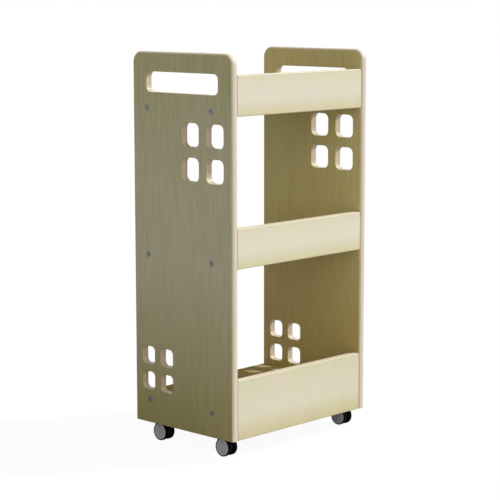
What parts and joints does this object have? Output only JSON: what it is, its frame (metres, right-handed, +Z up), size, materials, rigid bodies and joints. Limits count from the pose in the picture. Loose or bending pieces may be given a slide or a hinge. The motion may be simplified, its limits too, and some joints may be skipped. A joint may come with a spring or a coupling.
{
  "type": "book cart",
  "caption": "Upright book cart of light plywood with open shelves behind front rails, slotted hand holds and square windows in its side panels, on twin-wheel casters.",
  "frame": {"origin": "on the floor, under the middle of the cart", "axes": "+X to the cart's right, -Y to its front with the rails, +Z up"},
  "size_m": [0.45, 0.318, 0.9],
  "materials": {
    "birch_panel": "clear satin lacquer",
    "birch_rail": "clear satin lacquer",
    "beech": "sanded",
    "zinc_steel": "zinc plated",
    "black_nylon": "satin",
    "black_wheel": "satin tread",
    "grey_cap": "matt",
    "turned_steel": "turned"
  },
  "bodies": {
    "cart": {"left_side_panel": "birch_panel", "left_caster_cleat": "birch_panel", "left_connector_bolts": "zinc_steel", "right_side_panel": "birch_panel", "right_caster_cleat": "birch_panel", "right_connector_bolts": "zinc_steel", "bottom_shelf": "birch_panel", "bottom_front_rail": "birch_rail", "middle_shelf": "birch_panel", "middle_front_rail": "birch_rail", "top_shelf": "birch_panel", "top_front_rail": "birch_rail", "barrel_nuts": "zinc_steel", "shelf_end_dowels": "beech", "rail_end_dowels": "beech", "rail_shelf_dowels": "beech", "cleat_screws": "zinc_steel", "stem_grip_rings": "turned_steel", "front_left_socket": "black_nylon", "front_left_stem": "turned_steel", "front_left_thrust_washer": "zinc_steel", "front_right_socket": "black_nylon", "front_right_stem": "turned_steel", "front_right_thrust_washer": "zinc_steel", "rear_left_socket": "black_nylon", "rear_left_stem": "turned_steel", "rear_left_thrust_washer": "zinc_steel", "rear_right_socket": "black_nylon", "rear_right_stem": "turned_steel", "rear_right_thrust_washer": "zinc_steel"},
    "front_left_swivel": {"front_left_caster_core": "black_nylon", "front_left_axle": "turned_steel", "front_left_axle_clips": "zinc_steel"},
    "front_left_outer_roll": {"front_left_outer_wheel": "black_wheel", "front_left_outer_cap": "grey_cap"},
    "front_left_inner_roll": {"front_left_inner_wheel": "black_wheel", "front_left_inner_cap": "grey_cap"},
    "front_right_swivel": {"front_right_caster_core": "black_nylon", "front_right_axle": "turned_steel", "front_right_axle_clips": "zinc_steel"},
    "front_right_outer_roll": {"front_right_outer_wheel": "black_wheel", "front_right_outer_cap": "grey_cap"},
    "front_right_inner_roll": {"front_right_inner_wheel": "black_wheel", "front_right_inner_cap": "grey_cap"},
    "rear_left_swivel": {"rear_left_caster_core": "black_nylon", "rear_left_axle": "turned_steel", "rear_left_axle_clips": "zinc_steel"},
    "rear_left_outer_roll": {"rear_left_outer_wheel": "black_wheel", "rear_left_outer_cap": "grey_cap"},
    "rear_left_inner_roll": {"rear_left_inner_wheel": "black_wheel", "rear_left_inner_cap": "grey_cap"},
    "rear_right_swivel": {"rear_right_caster_core": "black_nylon", "rear_right_axle": "turned_steel", "rear_right_axle_clips": "zinc_steel"},
    "rear_right_outer_roll": {"rear_right_outer_wheel": "black_wheel", "rear_right_outer_cap": "grey_cap"},
    "rear_right_inner_roll": {"rear_right_inner_wheel": "black_wheel", "rear_right_inner_cap": "grey_cap"}
  },
  "joints": [
    {"name": "front_left_swivel_turn", "type": "hinge", "parent": "cart", "child": "front_left_swivel", "pos_m": [-0.1975, -0.093, 0.043], "axis": [0, 0, 1], "continuous": true},
    {"name": "front_left_outer_wheel_spin", "type": "hinge", "parent": "front_left_swivel", "child": "front_left_outer_roll", "pos_m": [-0.1975, -0.111, 0.021], "axis": [1, 0, 0], "continuous": true},
    {"name": "front_left_inner_wheel_spin", "type": "hinge", "parent": "front_left_swivel", "child": "front_left_inner_roll", "pos_m": [-0.1975, -0.111, 0.021], "axis": [1, 0, 0], "continuous": true},
    {"name": "front_right_swivel_turn", "type": "hinge", "parent": "cart", "child": "front_right_swivel", "pos_m": [0.1975, -0.093, 0.043], "axis": [0, 0, 1], "continuous": true},
    {"name": "front_right_outer_wheel_spin", "type": "hinge", "parent": "front_right_swivel", "child": "front_right_outer_roll", "pos_m": [0.1975, -0.111, 0.021], "axis": [1, 0, 0], "continuous": true},
    {"name": "front_right_inner_wheel_spin", "type": "hinge", "parent": "front_right_swivel", "child": "front_right_inner_roll", "pos_m": [0.1975, -0.111, 0.021], "axis": [1, 0, 0], "continuous": true},
    {"name": "rear_left_swivel_turn", "type": "hinge", "parent": "cart", "child": "rear_left_swivel", "pos_m": [-0.1975, 0.111, 0.043], "axis": [0, 0, 1], "continuous": true},
    {"name": "rear_left_outer_wheel_spin", "type": "hinge", "parent": "rear_left_swivel", "child": "rear_left_outer_roll", "pos_m": [-0.1975, 0.093, 0.021], "axis": [1, 0, 0], "continuous": true},
    {"name": "rear_left_inner_wheel_spin", "type": "hinge", "parent": "rear_left_swivel", "child": "rear_left_inner_roll", "pos_m": [-0.1975, 0.093, 0.021], "axis": [1, 0, 0], "continuous": true},
    {"name": "rear_right_swivel_turn", "type": "hinge", "parent": "cart", "child": "rear_right_swivel", "pos_m": [0.1975, 0.111, 0.043], "axis": [0, 0, 1], "continuous": true},
    {"name": "rear_right_outer_wheel_spin", "type": "hinge", "parent": "rear_right_swivel", "child": "rear_right_outer_roll", "pos_m": [0.1975, 0.093, 0.021], "axis": [1, 0, 0], "continuous": true},
    {"name": "rear_right_inner_wheel_spin", "type": "hinge", "parent": "rear_right_swivel", "child": "rear_right_inner_roll", "pos_m": [0.1975, 0.093, 0.021], "axis": [1, 0, 0], "continuous": true}
  ]
}
